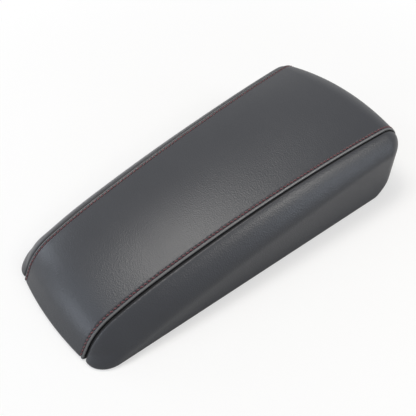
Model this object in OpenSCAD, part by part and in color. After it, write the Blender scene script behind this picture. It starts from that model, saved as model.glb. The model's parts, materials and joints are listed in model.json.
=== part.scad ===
// Padded centre armrest: a lid with a sewn leather cover over foam and a moulded carrier.
// It turns on a hinge bracket at its rear edge and has a finger latch under its front edge.
// X runs across the lid, Y from the low nose at the front to the tall rear, Z up from the console.

/* [Side profile] */
// Length of the seam line seen from the side
seam_len = 320; // [280:1:380]
// Slope of the front face, in degrees from level
front_slope = 58.6; // [52:0.2:70]
// Length of the straight front face, up to the nose
front_flat = 13.6; // [12.5:0.1:20]
// Radius of the nose
nose_r = 43; // [32:0.5:50]
// Slope of the top just behind the nose, in degrees
nose_end_slope = 18.2; // [15:0.2:22]
// Slope where the front sweep of the top meets its long rear sweep, in degrees
top_mid_slope = 10.7; // [8:0.1:13]
// Slope at the rear end of the top, in degrees
top_end_slope = 0.8; // [0:0.1:3]
// Share of the top's length taken by its front sweep
front_sweep = 0.164; // [0.1:0.01:0.3]
// Radius of the rear edge
rear_r = 19.5; // [16:0.5:26]
// Angle by which the rear face leans under, in degrees
rear_lean = 4.4; // [2:0.1:8]

/* [Plan] */
// Width at the front
front_w = 138; // [128:1:150]
// Width at the rear
rear_w = 157; // [150:1:175]
// How far each seam lies inside the side wall at the front
seam_in_front = 19.5; // [17:0.5:22]
// How far each seam lies inside the side wall at the rear
seam_in_rear = 13.5; // [12:0.5:16]
// How far each seam bows inwards halfway along
seam_waist = 1.8; // [0:0.1:4]

/* [Crown and side rounding] */
// Height of the crown of the centre panel over the seams, halfway along
crown_mid = 4.6; // [2:0.1:7]
// Height of that crown on the front face
crown_front = 3.2; // [1:0.1:5]
// Height of that crown on the rear face
crown_rear = 7.7; // [4:0.1:9]
// Depth of the side rounding below the seam, halfway along
round_mid = 22; // [20:0.1:26]
// Depth of the side rounding at the front
round_front = 17; // [16:0.1:19]
// Depth of the side rounding at the rear
round_rear = 17.8; // [16:0.1:19]
// Depth that the rear corners' rounding gains down to the console
heel_more = 13.5; // [0:0.5:18]
// Height above the console over which that depth is gained
heel_h = 15.5; // [12:0.5:24]
// Fullness of the side rounding, where 2 is a quarter circle
round_power = 1.35; // [1.25:0.05:1.8]
// Fullness of that rounding at the front corners
corner_power = 2.1; // [1.6:0.1:2.6]
// Height above the console over which the front corners' fullness runs out
corner_h = 12; // [8:0.5:16]
// Share of the length over which the front's crown and rounding run out
front_blend = 0.12; // [0.1:0.01:0.3]
// Share of the length from which the rear's crown and rounding build up
rear_blend = 0.6; // [0.5:0.01:0.85]

/* [Layers] */
// Thickness of the leather
leather_t = 1.3; // [1:0.1:1.6]
// Clearance between soft layers
soft_gap = 0.3; // [0.2:0.05:0.5]
// Foam thickness on the walls
foam_side = 4; // [3:0.5:5]
// Foam thickness on the top
foam_top = 9; // [6:0.5:10]
// Wall of the moulded carrier
carrier_t = 2.5; // [2:0.1:3]
// Height of the leather rim above the console
rim_z = 0.4; // [0.2:0.1:1]
// Height of the leather turned up inside the wall, above the rim
hem_h = 6; // [4:0.2:6.2]
// Height of the liner's lower face above the console
liner_z = 4.2; // [4.1:0.1:5]
// Wall of the liner
liner_t = 2.2; // [2:0.1:3]
// Depth of the pressed-in field of the liner
liner_field = 1; // [0.4:0.1:1.2]

/* [Seam] */
// Width of the side panel's edge under the centre panel
seam_lap = 8; // [6:0.5:10]
// Distance of the stitches from the centre panel's edge
stitch_in = 3.7; // [3:0.1:4.5]
// Depth to which the stitches pull the leather down
stitch_pull = 0.35; // [0.1:0.05:0.5]

/* [Hinge] */
// Distance from the pin's axis to the rearmost point of the lid
pin_inset = 7.8; // [7.6:0.1:8.2]
// Height of the pin's axis above the console
pin_z = 8; // [7.8:0.1:9]
// Diameter of the hinge pin
pin_d = 5; // [4:0.5:5.5]
// Thickness of the hinge steel
hinge_t = 2; // [1.5:0.1:2.2]
// Width of the hinge bracket
bracket_w = 60; // [54:1:64]
// Length of the bracket's foot, forward of the pin
bracket_l = 56; // [50:1:64]
// Length of the lid's hinge plate, forward of the pin
hinge_plate_l = 50; // [46:1:52]
// Width of the lid's knuckle
lid_knuckle_w = 26; // [20:1:30]
// Diameter of the bracket's bolt holes
bolt_d = 5.5; // [4.5:0.1:6]
// Bolt spacing across the bracket
bolt_dx = 44; // [38:1:46]
// Bolt spacing along the bracket
bolt_dy = 25; // [20:1:28]
// Thickness of the friction washers
washer_t = 0.8; // [0.5:0.1:1.2]

/* [Latch] */
// Distance from the front edge of the seam to the latch pin
latch_back = 54; // [52:1:60]
// Height of the latch pin above the console
latch_z = 9; // [8:0.1:10]
// Diameter of the latch pin
latch_pin_d = 3; // [2.5:0.1:4]
// Width of the finger paddle
paddle_w = 46; // [40:1:50]
// Length of the finger paddle, forward of its pin
paddle_l = 27; // [24:1:28]
// Thickness of the finger paddle
paddle_t = 2.5; // [2:0.1:3]
// Width of the slot for the striker
slot_w = 18; // [14:1:20]
// Reach of the latch hook, forward of its pin
hook_l = 6; // [5:0.5:7]
// Thickness of the latch hook
hook_t = 2.5; // [2:0.1:3]
// Width of the latch frame's flange beside the paddle's opening
flange_w = 10; // [9:0.5:11]

/* [Fasteners and buffers] */
// Diameter of the screw shanks
screw_d = 3.8; // [3:0.1:4.2]
// Diameter of the screw heads
head_d = 7.4; // [6.4:0.1:8]
// Length of the screws under their heads
screw_l = 12; // [10:0.5:13]
// Height of the screw heads
head_h = 2.2; // [1.8:0.1:2.4]
// Diameter of the rubber buffers
buffer_d = 13; // [10:0.5:15]

/* [Hidden] */
$fn = 64;

seam_w_front = front_w - 2 * seam_in_front;
seam_w_rear = rear_w - 2 * seam_in_rear;

// Side profile: corner points between a straight front, three sweeps, the rear edge and a straight rear
rear_slope = -(90 + rear_lean);
crown_reach = crown_front / sin(front_slope);
lid_len = seam_len + crown_reach + crown_rear;
front_y = crown_reach - lid_len / 2;
nose_run = nose_r * (sin(front_slope) - sin(nose_end_slope));
top_run = seam_len - front_flat * cos(front_slope) - nose_run - rear_r * (1 + sin(top_end_slope));
sweep_front_r = top_run * front_sweep / (sin(nose_end_slope) - sin(top_mid_slope));
sweep_rear_r = top_run * (1 - front_sweep) / (sin(top_mid_slope) - sin(top_end_slope));

// Point reached on an arc of radius r that starts at p and turns down from heading a to heading b
function sweep(p, r, a, b) = p + r * [sin(a) - sin(b), cos(b) - cos(a)];
nose_p = [front_y, 0] + front_flat * [cos(front_slope), sin(front_slope)];
top_p = sweep(nose_p, nose_r, front_slope, nose_end_slope);
mid_p = sweep(top_p, sweep_front_r, nose_end_slope, top_mid_slope);
edge_p = sweep(mid_p, sweep_rear_r, top_mid_slope, top_end_slope);
rear_p = sweep(edge_p, rear_r, top_end_slope, rear_slope);

// Stations along the profile, each [stretch, share of the stretch]
function stretch(k, n) = [for (i = [1:n]) [k, i / n]];
STATIONS = concat([[0, 0]], stretch(0, 2), stretch(1, 7), stretch(2, 4), stretch(3, 6),
    stretch(4, 10), [for (u = [0.4, 0.7, 0.85, 1]) [5, u]]);
LAST = len(STATIONS) - 1;

function mix(a, b, u) = a + (b - a) * u;
function ease(u) = let (c = min(1, max(0, u))) c * c * (3 - 2 * c);
// Share of the seam's length at y, and how far y is into the front end and the rear end
function along(y) = (y - front_y) / seam_len;
function at_front(y) = ease((front_blend - along(y)) / (front_blend - 0.02));
function at_rear(y) = ease((along(y) - rear_blend) / (0.97 - rear_blend));
function by_end(y, mid, front, rear) = mid + (front - mid) * at_front(y) + (rear - mid) * at_rear(y);
function seam_x(y) = mix(seam_w_front, seam_w_rear, along(y)) / 2
    - 4 * seam_waist * along(y) * (1 - along(y));
function wall_x(y) = mix(front_w, rear_w, along(y)) / 2;
function crown_h(y) = by_end(y, crown_mid, crown_front, crown_rear);
function round_h(y) = by_end(y, round_mid, round_front, round_rear);
// What the rear corners' rounding gains at height z
function heel(y, z) = along(y) > 0.5 ? heel_more * pow(min(1, max(0, 1 - z / heel_h)), 2) : 0;
// Share of the rounding's depth reached at share u of its width, for fullness p
function fall(u, p) = 1 - pow(1 - pow(u, p), 1 / p);
function fullness(y, z) = along(y) > 0.5 ? round_power :
    mix(round_power, corner_power, ease((corner_h - z) / corner_h));

// Profile point and heading at a station, for a surface h above the profile that ends at height base
function frame_at(st, h, base) =
    st[0] == 0 ? let (
        t0 = (base - h * cos(front_slope)) / sin(front_slope),
        t = mix(t0, front_flat, st[1])
    ) [front_y + t * cos(front_slope), t * sin(front_slope), front_slope] :
    st[0] == 1 ? arc_frame(nose_p, nose_r, front_slope, nose_end_slope, st[1]) :
    st[0] == 2 ? arc_frame(top_p, sweep_front_r, nose_end_slope, top_mid_slope, st[1]) :
    st[0] == 3 ? arc_frame(mid_p, sweep_rear_r, top_mid_slope, top_end_slope, st[1]) :
    st[0] == 4 ? arc_frame(edge_p, rear_r, top_end_slope, rear_slope, st[1]) :
    let (t = st[1] * (rear_p[1] - base - h * sin(rear_lean)) / cos(rear_lean))
    [rear_p[0] - t * sin(rear_lean), rear_p[1] - t * cos(rear_lean), rear_slope];
function arc_frame(p, r, a, b, u) = let (c = mix(a, b, u), q = sweep(p, r, a, c)) [q[0], q[1], c];

// Depth of a layer at a station: side at the front and rear walls, top on the top
function depth(st, side, top) =
    st[0] == 0 || st[0] == 5 ? side :
    st[0] == 1 ? mix(side, top, ease(st[1])) :
    st[0] == 4 ? mix(top, side, ease(st[1])) : top;

// Columns across the lid: [0, c] on the crown with c from -1 to 1, [1, u] on the right rounding,
// [2, v] down the right wall, [3, t] on the crown at distance t from the right seam; a minus sign on the
// first number is the left side. A third number adds depth, and a fourth lifts the column's two ends.
function crown_pt(st, c, side, top, base) = let (
    y0 = frame_at(st, 0, base)[0],
    h = crown_h(y0) * (1 - c * c) - depth(st, side, top),
    f = frame_at(st, h, base)
) [c * seam_x(y0), f[0] - h * sin(f[2]), f[1] + h * cos(f[2])];
function round_pt(st, u, side, top, base) = let (
    y0 = frame_at(st, 0, base)[0],
    d = depth(st, side, top),
    deep = round_h(y0) - d,
    first = -d - deep * fall(u, round_power),
    g = frame_at(st, first, base),
    z = g[1] + first * cos(g[2]),
    h = -d - (deep + heel(y0, z)) * fall(u, fullness(y0, z)),
    f = frame_at(st, h, base),
    y = f[0] - h * sin(f[2])
) [mix(seam_x(y0), wall_x(y) - side, u), y, f[1] + h * cos(f[2])];
function wall_pt(i, v, side, top, base) = let (
    a = round_pt(STATIONS[i], 1, side, top, base),
    ya = round_pt(STATIONS[0], 1, side, top, base)[1],
    yb = round_pt(STATIONS[LAST], 1, side, top, base)[1],
    y = mix(ya, yb, i / LAST)
) (i == 0 || i == LAST) ? a : [mix(a[0], wall_x(y) - side, v), mix(a[1], y, v), mix(a[2], base, v)];
function left(p) = [-p[0], p[1], p[2]];
function skin_pt(i, c, side, top, base) = let (
    k = abs(c[0]),
    e = len(c) > 2 ? c[2] : 0,
    b = len(c) > 3 ? base + c[3] : base,
    st = STATIONS[i],
    p = k == 0 ? crown_pt(st, c[1], side + e, top + e, b) :
        k == 1 ? round_pt(st, c[1], side + e, top + e, b) :
        k == 2 ? wall_pt(i, c[1], side, top, b) :
        crown_pt(st, 1 - c[1] / seam_x(frame_at(st, 0, b)[0]), side + e, top + e, b)
) c[0] < 0 ? left(p) : p;
function plain(cols) = [for (c = cols) [c[0], c[1]]];
// Columns of the right half followed by the given middle ones and the same columns on the left, in order
function both(right, middle) = concat(
    [for (k = [len(right) - 1:-1:0]) concat([-right[k][0]], [for (j = [1:len(right[k]) - 1]) right[k][j]])],
    [for (c = middle) [0, c]], right);

// The lapped seam: the centre panel's edge, the side panel that dips under it, and the channel in the foam
lap_drop = leather_t + soft_gap;
lap_lift = leather_t + soft_gap;
bead = 0.2;
dip_end = 0.28;
ROUND_COLS = concat([for (u = [dip_end, 0.42, 0.56, 0.7, 0.83, 0.93, 1]) [1, u]], [[2, 1]]);
CROWN_COLS = both([[3, stitch_in * 1.5], [3, stitch_in, stitch_pull], [3, stitch_in / 2, -bead], [3, 0]],
    [for (c = [-0.8:0.2:0.81]) c]);
SIDE_COLS = concat(
    [[3, seam_lap, lap_drop, lap_lift], [3, stitch_in * 1.5, lap_drop, lap_lift],
        [3, stitch_in, lap_drop + stitch_pull, lap_lift], [3, stitch_in / 2, lap_drop, lap_lift],
        [1, 0, lap_drop, lap_lift], [1, dip_end * 0.25, lap_drop * 0.6], [1, dip_end * 0.57, lap_drop * 0.2]],
    ROUND_COLS);
SIDE_HEM = 5;
FULL_COLS = both(concat(
    [[3, seam_lap + 2.5], [3, seam_lap + 1, lap_drop + stitch_pull],
        [1, 0, lap_drop + stitch_pull],
        [1, dip_end / 2, lap_drop * 0.4]], ROUND_COLS), [for (c = [-0.7:0.35:0.71]) c]);

// Sheet between an outer and a plain inner surface, over the given columns
module sheet(cols, outer, inner, base) {
    m = len(cols);
    n = LAST + 1;
    pts = concat(
        [for (i = [0:LAST]) for (c = cols) skin_pt(i, c, outer[0], outer[1], base)],
        [for (i = [0:LAST]) for (c = plain(cols)) skin_pt(i, c, inner[0], inner[1], base)]);
    k = n * m;
    faces = concat(
        [for (i = [0:LAST - 1]) for (j = [0:m - 2]) let (a = i * m + j) each [
            [a, a + m, a + m + 1], [a, a + m + 1, a + 1],
            [k + a, k + a + m + 1, k + a + m], [k + a, k + a + 1, k + a + m + 1]]],
        [for (j = [0:m - 2]) let (b = LAST * m + j) each [
            [j, j + 1, k + j + 1], [j, k + j + 1, k + j],
            [b, k + b, k + b + 1], [b, k + b + 1, b + 1]]],
        [for (i = [0:LAST - 1]) let (a = i * m, b = a + m - 1) each [
            [a + m, a, k + a], [a + m, k + a, k + a + m],
            [b, b + m, k + b + m], [b, k + b + m, k + b]]]);
    polyhedron(pts, faces);
}
// Leather over the given columns. Along each chain of edge points [station, column] it turns in under
// the wall and up its inner face. A chain runs with the leather on its left, seen from above. The first
// columns, as many as cut, end without a hem.
module leather(cols, chains, cut) {
    flat = plain(cols);
    m = len(cols);
    k = (LAST + 1) * m;
    n = len(chains[0]);
    faces_in = [[0, rim_z, hem_end], [leather_t, rim_z + leather_t, hem_in]];
    pts = concat(
        [for (s = faces_in) for (i = [0:LAST]) for (c = cols) skin_pt(i, c, s[0], s[0], s[1])],
        [for (q = chains) for (s = faces_in) for (z = [s[1], hem_top]) for (p = q)
            skin_pt(p[0], flat[p[1]], s[2], s[2], z)]);
    function at(q, s, step, b) = step == 0 ? s * k + chains[q][b][0] * m + chains[q][b][1] :
        2 * k + ((q * 2 + s) * 2 + step - 1) * n + b;
    function quad(a, b, c, d) = [[a, b, c], [a, c, d]];
    faces = concat(
        [for (i = [0:LAST - 1]) for (j = [0:m - 2]) let (a = i * m + j) each concat(
            quad(a, a + m, a + m + 1, a + 1), quad(k + a, k + a + 1, k + a + m + 1, k + a + m))],
        [for (i = [0:LAST - 1]) let (a = i * m) each quad(a + m, a, k + a, k + a + m)],
        [for (j = [0:1:cut - 1]) let (b = LAST * m + j) each concat(
            quad(j, j + 1, k + j + 1, k + j), quad(b, k + b, k + b + 1, b + 1))],
        len(chains) == 1 ? [] :
            [for (i = [0:LAST - 1]) let (a = i * m + m - 1) each quad(a, a + m, k + a + m, k + a)],
        [for (q = [0:len(chains) - 1]) for (step = [0, 1]) each concat(
            [for (b = [0:n - 2]) each concat(
                quad(at(q, 0, step, b), at(q, 0, step, b + 1),
                    at(q, 0, step + 1, b + 1), at(q, 0, step + 1, b)),
                quad(at(q, 1, step, b), at(q, 1, step + 1, b),
                    at(q, 1, step + 1, b + 1), at(q, 1, step, b + 1)))],
            quad(at(q, 0, step, 0), at(q, 0, step + 1, 0), at(q, 1, step + 1, 0), at(q, 1, step, 0)),
            quad(at(q, 0, step + 1, n - 1), at(q, 0, step, n - 1),
                at(q, 1, step, n - 1), at(q, 1, step + 1, n - 1)))],
        [for (q = [0:len(chains) - 1]) for (b = [0:n - 2]) each
            quad(at(q, 0, 2, b), at(q, 0, 2, b + 1), at(q, 1, 2, b + 1), at(q, 1, 2, b))]);
    polyhedron(pts, faces);
}
// Plan outline of the form at height base, inset from the outside
function outline(inset, base) = let (
    row = [for (c = plain(FULL_COLS)) if (abs(c[0]) != 2) c],
    front = [for (c = row) skin_pt(0, c, inset, inset, base)],
    right = [for (i = [1:LAST - 1]) skin_pt(i, [2, 1], inset, inset, base)],
    rear = [for (k = [len(row) - 1:-1:0]) skin_pt(LAST, row[k], inset, inset, base)],
    back = [for (i = [LAST - 1:-1:1]) skin_pt(i, [-2, 1], inset, inset, base)]
) [for (p = concat(front, right, rear, back)) [p[0], p[1]]];

// Depths of the layers under the outside
foam_d = leather_t + soft_gap;
carrier_side = foam_d + foam_side + soft_gap;
carrier_top = foam_d + foam_top + soft_gap;
hem_in = carrier_side + carrier_t + soft_gap;
hem_end = hem_in + leather_t;
liner_in = hem_end + soft_gap;
wall_base = rim_z + leather_t + soft_gap;
seat_z = liner_z + liner_t;
hem_top = rim_z + hem_h;

// Height of the carrier's outside over a point, and of a flat boss that ends inside its wall
TOP = [for (st = STATIONS) if (st[0] < 4) frame_at(st, 0, 0)];
HEIGHT = [for (f = TOP) [f[0], f[1]]];
HEADING = [for (f = TOP) [f[0], f[2]]];
boss_r = screw_d / 2 + 2.5;
function carrier_z(x, y) = let (
    s = seam_x(y),
    u = min(1, max(0, (abs(x) - s) / (wall_x(y) - carrier_side - s))),
    rise = crown_h(y) * max(0, 1 - x * x / (s * s)),
    drop = (round_h(y) - carrier_top) * fall(u, round_power)
) lookup(y, HEIGHT) + (rise - carrier_top - drop) / cos(lookup(y, HEADING));
function boss_top(x, y) = min([for (a = [0:30:330])
    carrier_z(x + boss_r * cos(a), y + boss_r * sin(a))]) - 0.6;

// Hinge and latch places
pin_y = lid_len / 2 - pin_inset;
knuckle_r = pin_d / 2 + hinge_t;
notch_r = pin_z + 2;
notch_w = bracket_w + 12;
run_gap = 0.05;
face_gap = 0.1;
bolt_y = pin_y - bracket_l + 14 + bolt_dy / 2;
plate_z = pin_z + knuckle_r - hinge_t;
plate_end = pin_y - hinge_plate_l;
strap_l = hinge_plate_l * 0.36;
plate_screws = [for (x = [-1, 1], v = [0.16, 0.52]) [x * bracket_w / 3, plate_end + v * hinge_plate_l]];
latch_y = front_y + latch_back;
frame_w = paddle_w + 12;
frame_wall = 2.4;
bezel_t = 1.8;
bezel_z = liner_z - bezel_t;
latch_front = latch_y - paddle_l - 3;
latch_rear = latch_y + 9;
hub_r = latch_pin_d / 2 + 2.2;
plate_low = liner_z + face_gap;
hook_z = latch_z * 1.5;
wire_d = 0.7;
coil_r = latch_pin_d / 2 + 0.8;
coil_w = 2.4;
spring_x = paddle_w / 2 - coil_w - 0.6;
spring_cut = 8;
latch_screws = [for (x = [-1, 1]) [x * (frame_w + flange_w) / 2, latch_y - 6]];
liner_screw_at = [for (s = [-1, 1], v = [0.2, 0.48, 0.72])
    let (y = front_y + v * seam_len) [s * (wall_x(y) - liner_in - 8), y]];
buffer_r = buffer_d / 2;
buffer_front_x = frame_w / 2 + flange_w + 1.4 + buffer_r;
buffer_rear_x = wall_x(front_y + 0.9 * seam_len) - liner_in - 2 * buffer_r;
buffer_at = concat(
    [for (s = [-1, 1]) [s * buffer_front_x, front_y + 0.13 * seam_len]],
    [for (s = [-1, 1]) [s * buffer_rear_x, front_y + 0.9 * seam_len]]);

module screw_holes(at, z0, z1, d) {
    for (p = at)
        translate([p[0], p[1], z0])
            cylinder(d = d, h = z1 - z0);
}
// Notch in the rear wall where the hinge knuckles turn
module hinge_notch() {
    translate([-notch_w / 2, pin_y, pin_z])
        rotate([0, 90, 0])
            cylinder(r = notch_r, h = notch_w);
    translate([-notch_w / 2, pin_y - notch_r, -5])
        cube([notch_w, 2 * notch_r + 10, pin_z + 5]);
}
module centre_panel() {
    last = len(CROWN_COLS) - 1;
    color([0.13, 0.135, 0.15])
        difference() {
            leather(CROWN_COLS, [
                [for (j = [0:last]) [0, j]],
                [for (j = [last:-1:0]) [LAST, j]]], 0);
            hinge_notch();
        }
}
module right_side_panel() {
    last = len(SIDE_COLS) - 1;
    color([0.1, 0.105, 0.115])
        leather(SIDE_COLS, [concat(
            [for (j = [SIDE_HEM:last]) [0, j]],
            [for (i = [1:LAST]) [i, last]],
            [for (j = [last - 1:-1:SIDE_HEM]) [LAST, j]])], SIDE_HEM);
}
module left_side_panel() {
    mirror([1, 0, 0])
        right_side_panel();
}
module foam_pad() {
    color([0.75, 0.7, 0.55])
        difference() {
            sheet(FULL_COLS, [foam_d, foam_d],
                [foam_d + foam_side, foam_d + foam_top], wall_base);
            hinge_notch();
        }
}
module carrier() {
    color([0.2, 0.2, 0.21])
        difference() {
            union() {
                sheet(plain(FULL_COLS), [carrier_side, carrier_top],
                    [carrier_side + carrier_t, carrier_top + carrier_t], wall_base);
                bosses(liner_screw_at, seat_z);
                bosses(latch_screws, seat_z);
                bosses(plate_screws, plate_z + hinge_t);
            }
            screw_holes(liner_screw_at, seat_z - 1, liner_z + screw_l + 1, screw_d + 2 * run_gap);
            screw_holes(plate_screws, plate_z, plate_z + screw_l + 1, screw_d + 2 * run_gap);
            screw_holes(latch_screws, seat_z - 1, bezel_z + screw_l + 1, screw_d + 2 * run_gap);
            hinge_notch();
        }
}
// Screw bosses from height z up into the carrier's wall
module bosses(at, z) {
    for (p = at)
        translate([p[0], p[1], z])
            cylinder(r = boss_r, h = boss_top(p[0], p[1]) - z);
}
module liner() {
    field = liner_in + 16;
    color([0.09, 0.09, 0.1])
        difference() {
            translate([0, 0, liner_z])
                linear_extrude(liner_t)
                    intersection() {
                        polygon(outline(liner_in, liner_z));
                        polygon(outline(liner_in, seat_z));
                    }
            translate([0, 0, liner_z - 1])
                linear_extrude(1 + liner_field)
                    intersection() {
                        polygon(outline(field, 0));
                        translate([-rear_w / 2, latch_rear + 14])
                            square([rear_w, pin_y - bracket_l - latch_rear - 24]);
                    }
            translate([-notch_w / 2, pin_y - bracket_l - 4, 0])
                cube([notch_w, bracket_l + 40, 40]);
            translate([-frame_w / 2 - soft_gap, latch_front - soft_gap, 0])
                cube([frame_w + 2 * soft_gap, latch_rear - latch_front + 2 * soft_gap, 40]);
            screw_holes(liner_screw_at, 0, 40, screw_d + 0.6);
            screw_holes(latch_screws, 0, 40, screw_d + 0.6);
            screw_holes(buffer_at, 0, 40, buffer_d * 0.5);
        }
}
// Screw driven upwards, with its head's upper face at height z
module screw(x, y, z) {
    translate([x, y, z - head_h])
        difference() {
            union() {
                cylinder(d = head_d, h = head_h);
                cylinder(d = screw_d, h = head_h + screw_l);
            }
            for (a = [0, 90])
                rotate([0, 0, a])
                    translate([-head_d * 0.3, -0.45, -1])
                        cube([head_d * 0.6, 0.9, 1 + head_h * 0.6]);
        }
}
module liner_screws() {
    color("dimgray")
        for (p = liner_screw_at)
            screw(p[0], p[1], liner_z);
}
module rubber_buffers() {
    color([0.05, 0.05, 0.05])
        for (p = buffer_at)
            translate([p[0], p[1], 0]) {
                cylinder(d = buffer_d, h = liner_z);
                cylinder(d = buffer_d * 0.5 - 0.2, h = seat_z + 0.3);
                translate([0, 0, seat_z + 0.1])
                    cylinder(d1 = buffer_d * 0.68, d2 = buffer_d * 0.4, h = 3);
            }
}
module knuckle(x0, x1) {
    translate([x0, pin_y, pin_z])
        rotate([0, 90, 0])
            cylinder(r = knuckle_r, h = x1 - x0);
}
module pin_bore(d) {
    translate([-bracket_w, pin_y, pin_z])
        rotate([0, 90, 0])
            cylinder(d = d, h = 2 * bracket_w);
}
module lid_hinge_plate() {
    k = lid_knuckle_w / 2;
    color([0.6, 0.6, 0.62])
        difference() {
            union() {
                knuckle(-k, k);
                translate([-k, pin_y - strap_l, plate_z])
                    cube([2 * k, strap_l, hinge_t]);
                translate([-bracket_w / 2, plate_end, plate_z])
                    plate(bracket_w, hinge_plate_l - strap_l + hinge_t, hinge_t, 5);
            }
            pin_bore(pin_d + 2 * run_gap);
            screw_holes(plate_screws, plate_z - 1, plate_z + 10, screw_d + 0.5);
        }
}
module hinge_plate_screws() {
    color("dimgray")
        for (p = plate_screws)
            screw(p[0], p[1], plate_z);
}
module hinge_bracket() {
    k0 = lid_knuckle_w / 2 + washer_t + 2 * face_gap;
    color([0.55, 0.55, 0.57])
        difference() {
            union() {
                for (s = [-1, 1]) {
                    knuckle(s > 0 ? k0 : -bracket_w / 2, s > 0 ? bracket_w / 2 : -k0);
                    translate([s > 0 ? k0 : -bracket_w / 2, pin_y + pin_d / 2, 0])
                        cube([bracket_w / 2 - k0, hinge_t, pin_z]);
                }
                translate([-bracket_w / 2, pin_y - bracket_l, 0])
                    plate(bracket_w, bracket_l - 4, hinge_t, 6);
                translate([-bracket_w / 2, pin_y - 12, 0])
                    cube([bracket_w, 12 + pin_d / 2 + hinge_t, hinge_t]);
            }
            pin_bore(pin_d + 2 * run_gap);
            screw_holes([for (x = [-1, 1], y = [-1, 1]) [x * bolt_dx / 2, bolt_y + y * bolt_dy / 2]],
                -1, hinge_t + 1, bolt_d);
        }
}
module hinge_pin() {
    color([0.7, 0.7, 0.72])
        translate([0, pin_y, pin_z])
            rotate([0, 90, 0]) {
                cylinder(d = pin_d, h = bracket_w + 2, center = true);
                for (s = [-1, 1])
                    translate([0, 0, s * (bracket_w / 2 + face_gap + 0.7)])
                        cylinder(d = pin_d + 2.4, h = 1.4, center = true);
            }
}
module friction_washers() {
    x0 = lid_knuckle_w / 2 + face_gap;
    color([0.85, 0.85, 0.8])
        for (s = [-1, 1])
            translate([s * (x0 + washer_t / 2), pin_y, pin_z])
                rotate([0, 90, 0])
                    difference() {
                        cylinder(r = knuckle_r - 0.2, h = washer_t, center = true);
                        cylinder(d = pin_d + 2 * run_gap, h = 5, center = true);
                    }
}
module latch_frame() {
    inner_w = frame_w - 2 * frame_wall;
    lip = 2;
    color([0.08, 0.08, 0.09])
        difference() {
            union() {
                translate([-frame_w / 2 - flange_w, latch_front - flange_w / 2, bezel_z])
                    plate(frame_w + 2 * flange_w, latch_rear - latch_front + flange_w, bezel_t, 4);
                translate([-frame_w / 2, latch_front, bezel_z])
                    cube([frame_w, latch_rear - latch_front, seat_z + 1 - bezel_z]);
                for (s = [-1, 1])
                    translate([s > 0 ? inner_w / 2 : -frame_w / 2, latch_y - 5, bezel_z])
                        cube([frame_wall, 10, latch_z + 4 - bezel_z]);
                translate([-frame_w / 2, latch_rear - frame_wall, bezel_z])
                    cube([frame_w, frame_wall, latch_z + 4 - bezel_z]);
            }
            translate([-inner_w / 2, latch_front + frame_wall, liner_z])
                cube([inner_w, latch_rear - latch_front - 2 * frame_wall, 40]);
            translate([-paddle_w / 2 + lip, latch_y - paddle_l + lip, 0])
                cube([paddle_w - 2 * lip, paddle_l, 40]);
            translate([-inner_w / 2, latch_y - hub_r - 1, 0])
                cube([inner_w, latch_rear - frame_wall - latch_y + hub_r + 1, 40]);
            translate([-frame_w, latch_y, latch_z])
                rotate([0, 90, 0])
                    cylinder(d = latch_pin_d + 0.02, h = 2 * frame_w);
            translate([spring_x + coil_w - wire_d / 2, latch_rear - frame_wall - 1, latch_z - coil_r])
                rotate([-90, 0, 0])
                    cylinder(d = wire_d + 0.4, h = frame_wall + 2);
            screw_holes(latch_screws, 0, 40, screw_d + 0.6);
        }
}
module latch_frame_screws() {
    color("dimgray")
        for (p = latch_screws)
            screw(p[0], p[1], bezel_z);
}
module latch_pin() {
    color([0.7, 0.7, 0.72])
        translate([0, latch_y, latch_z])
            rotate([0, 90, 0])
                cylinder(d = latch_pin_d, h = frame_w - 0.4, center = true);
}
module latch_paddle() {
    hub_w = paddle_w / 2 - slot_w / 2;
    color([0.12, 0.12, 0.13])
        difference() {
            union() {
                translate([-paddle_w / 2, latch_y - paddle_l, plate_low])
                    cube([paddle_w, paddle_l + hub_r, paddle_t]);
                translate([-paddle_w / 2, latch_y, latch_z])
                    rotate([0, 90, 0])
                        cylinder(r = hub_r, h = hub_w);
                translate([slot_w / 2, latch_y, latch_z])
                    rotate([0, 90, 0])
                        cylinder(r = hub_r, h = spring_x - 0.3 - slot_w / 2);
                translate([-paddle_w / 2, latch_y - hub_r, plate_low])
                    cube([hub_w, 2 * hub_r, latch_z - plate_low]);
                translate([slot_w / 2, latch_y - hub_r, plate_low])
                    cube([spring_x - 0.3 - slot_w / 2, 2 * hub_r, latch_z - plate_low]);
                translate([-slot_w / 2, latch_y, plate_low])
                    cube([slot_w, hub_r, hook_z + hook_t - plate_low]);
                translate([-slot_w / 2, latch_y - hook_l, hook_z])
                    cube([slot_w, hook_l + hub_r / 2, hook_t]);
            }
            translate([-slot_w / 2, latch_y - 2 * hook_l, 0])
                cube([slot_w, 1.5 * hook_l, hook_z]);
            translate([spring_x - 0.3, latch_y - spring_cut, 0])
                cube([paddle_w, paddle_l, 40]);
            translate([-paddle_w, latch_y, latch_z])
                rotate([0, 90, 0])
                    cylinder(d = latch_pin_d + 2 * run_gap, h = 2 * paddle_w);
        }
}
// Torsion spring round the latch pin: one leg on the paddle, the other through the frame's rear wall
module latch_spring() {
    turns = 2;
    steps = 32;
    centre = [spring_x + wire_d / 2, latch_y, latch_z];
    coil = [for (i = [0:steps]) let (a = -90 + 360 * turns * i / steps)
        centre + [(coil_w - wire_d) * i / steps, coil_r * cos(a), coil_r * sin(a)]];
    leg_x = coil[0][0];
    leg_z = plate_low + paddle_t + wire_d / 2 + run_gap;
    color([0.7, 0.7, 0.7])
        tube(concat([[leg_x, latch_y - spring_cut - 5, leg_z], [leg_x, latch_y - spring_cut, leg_z],
            [leg_x, latch_y - 1.5, coil[0][2]]], coil,
            [[coil[steps][0], latch_rear + 0.4, coil[steps][2]]]), wire_d / 2, 6);
}
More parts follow.
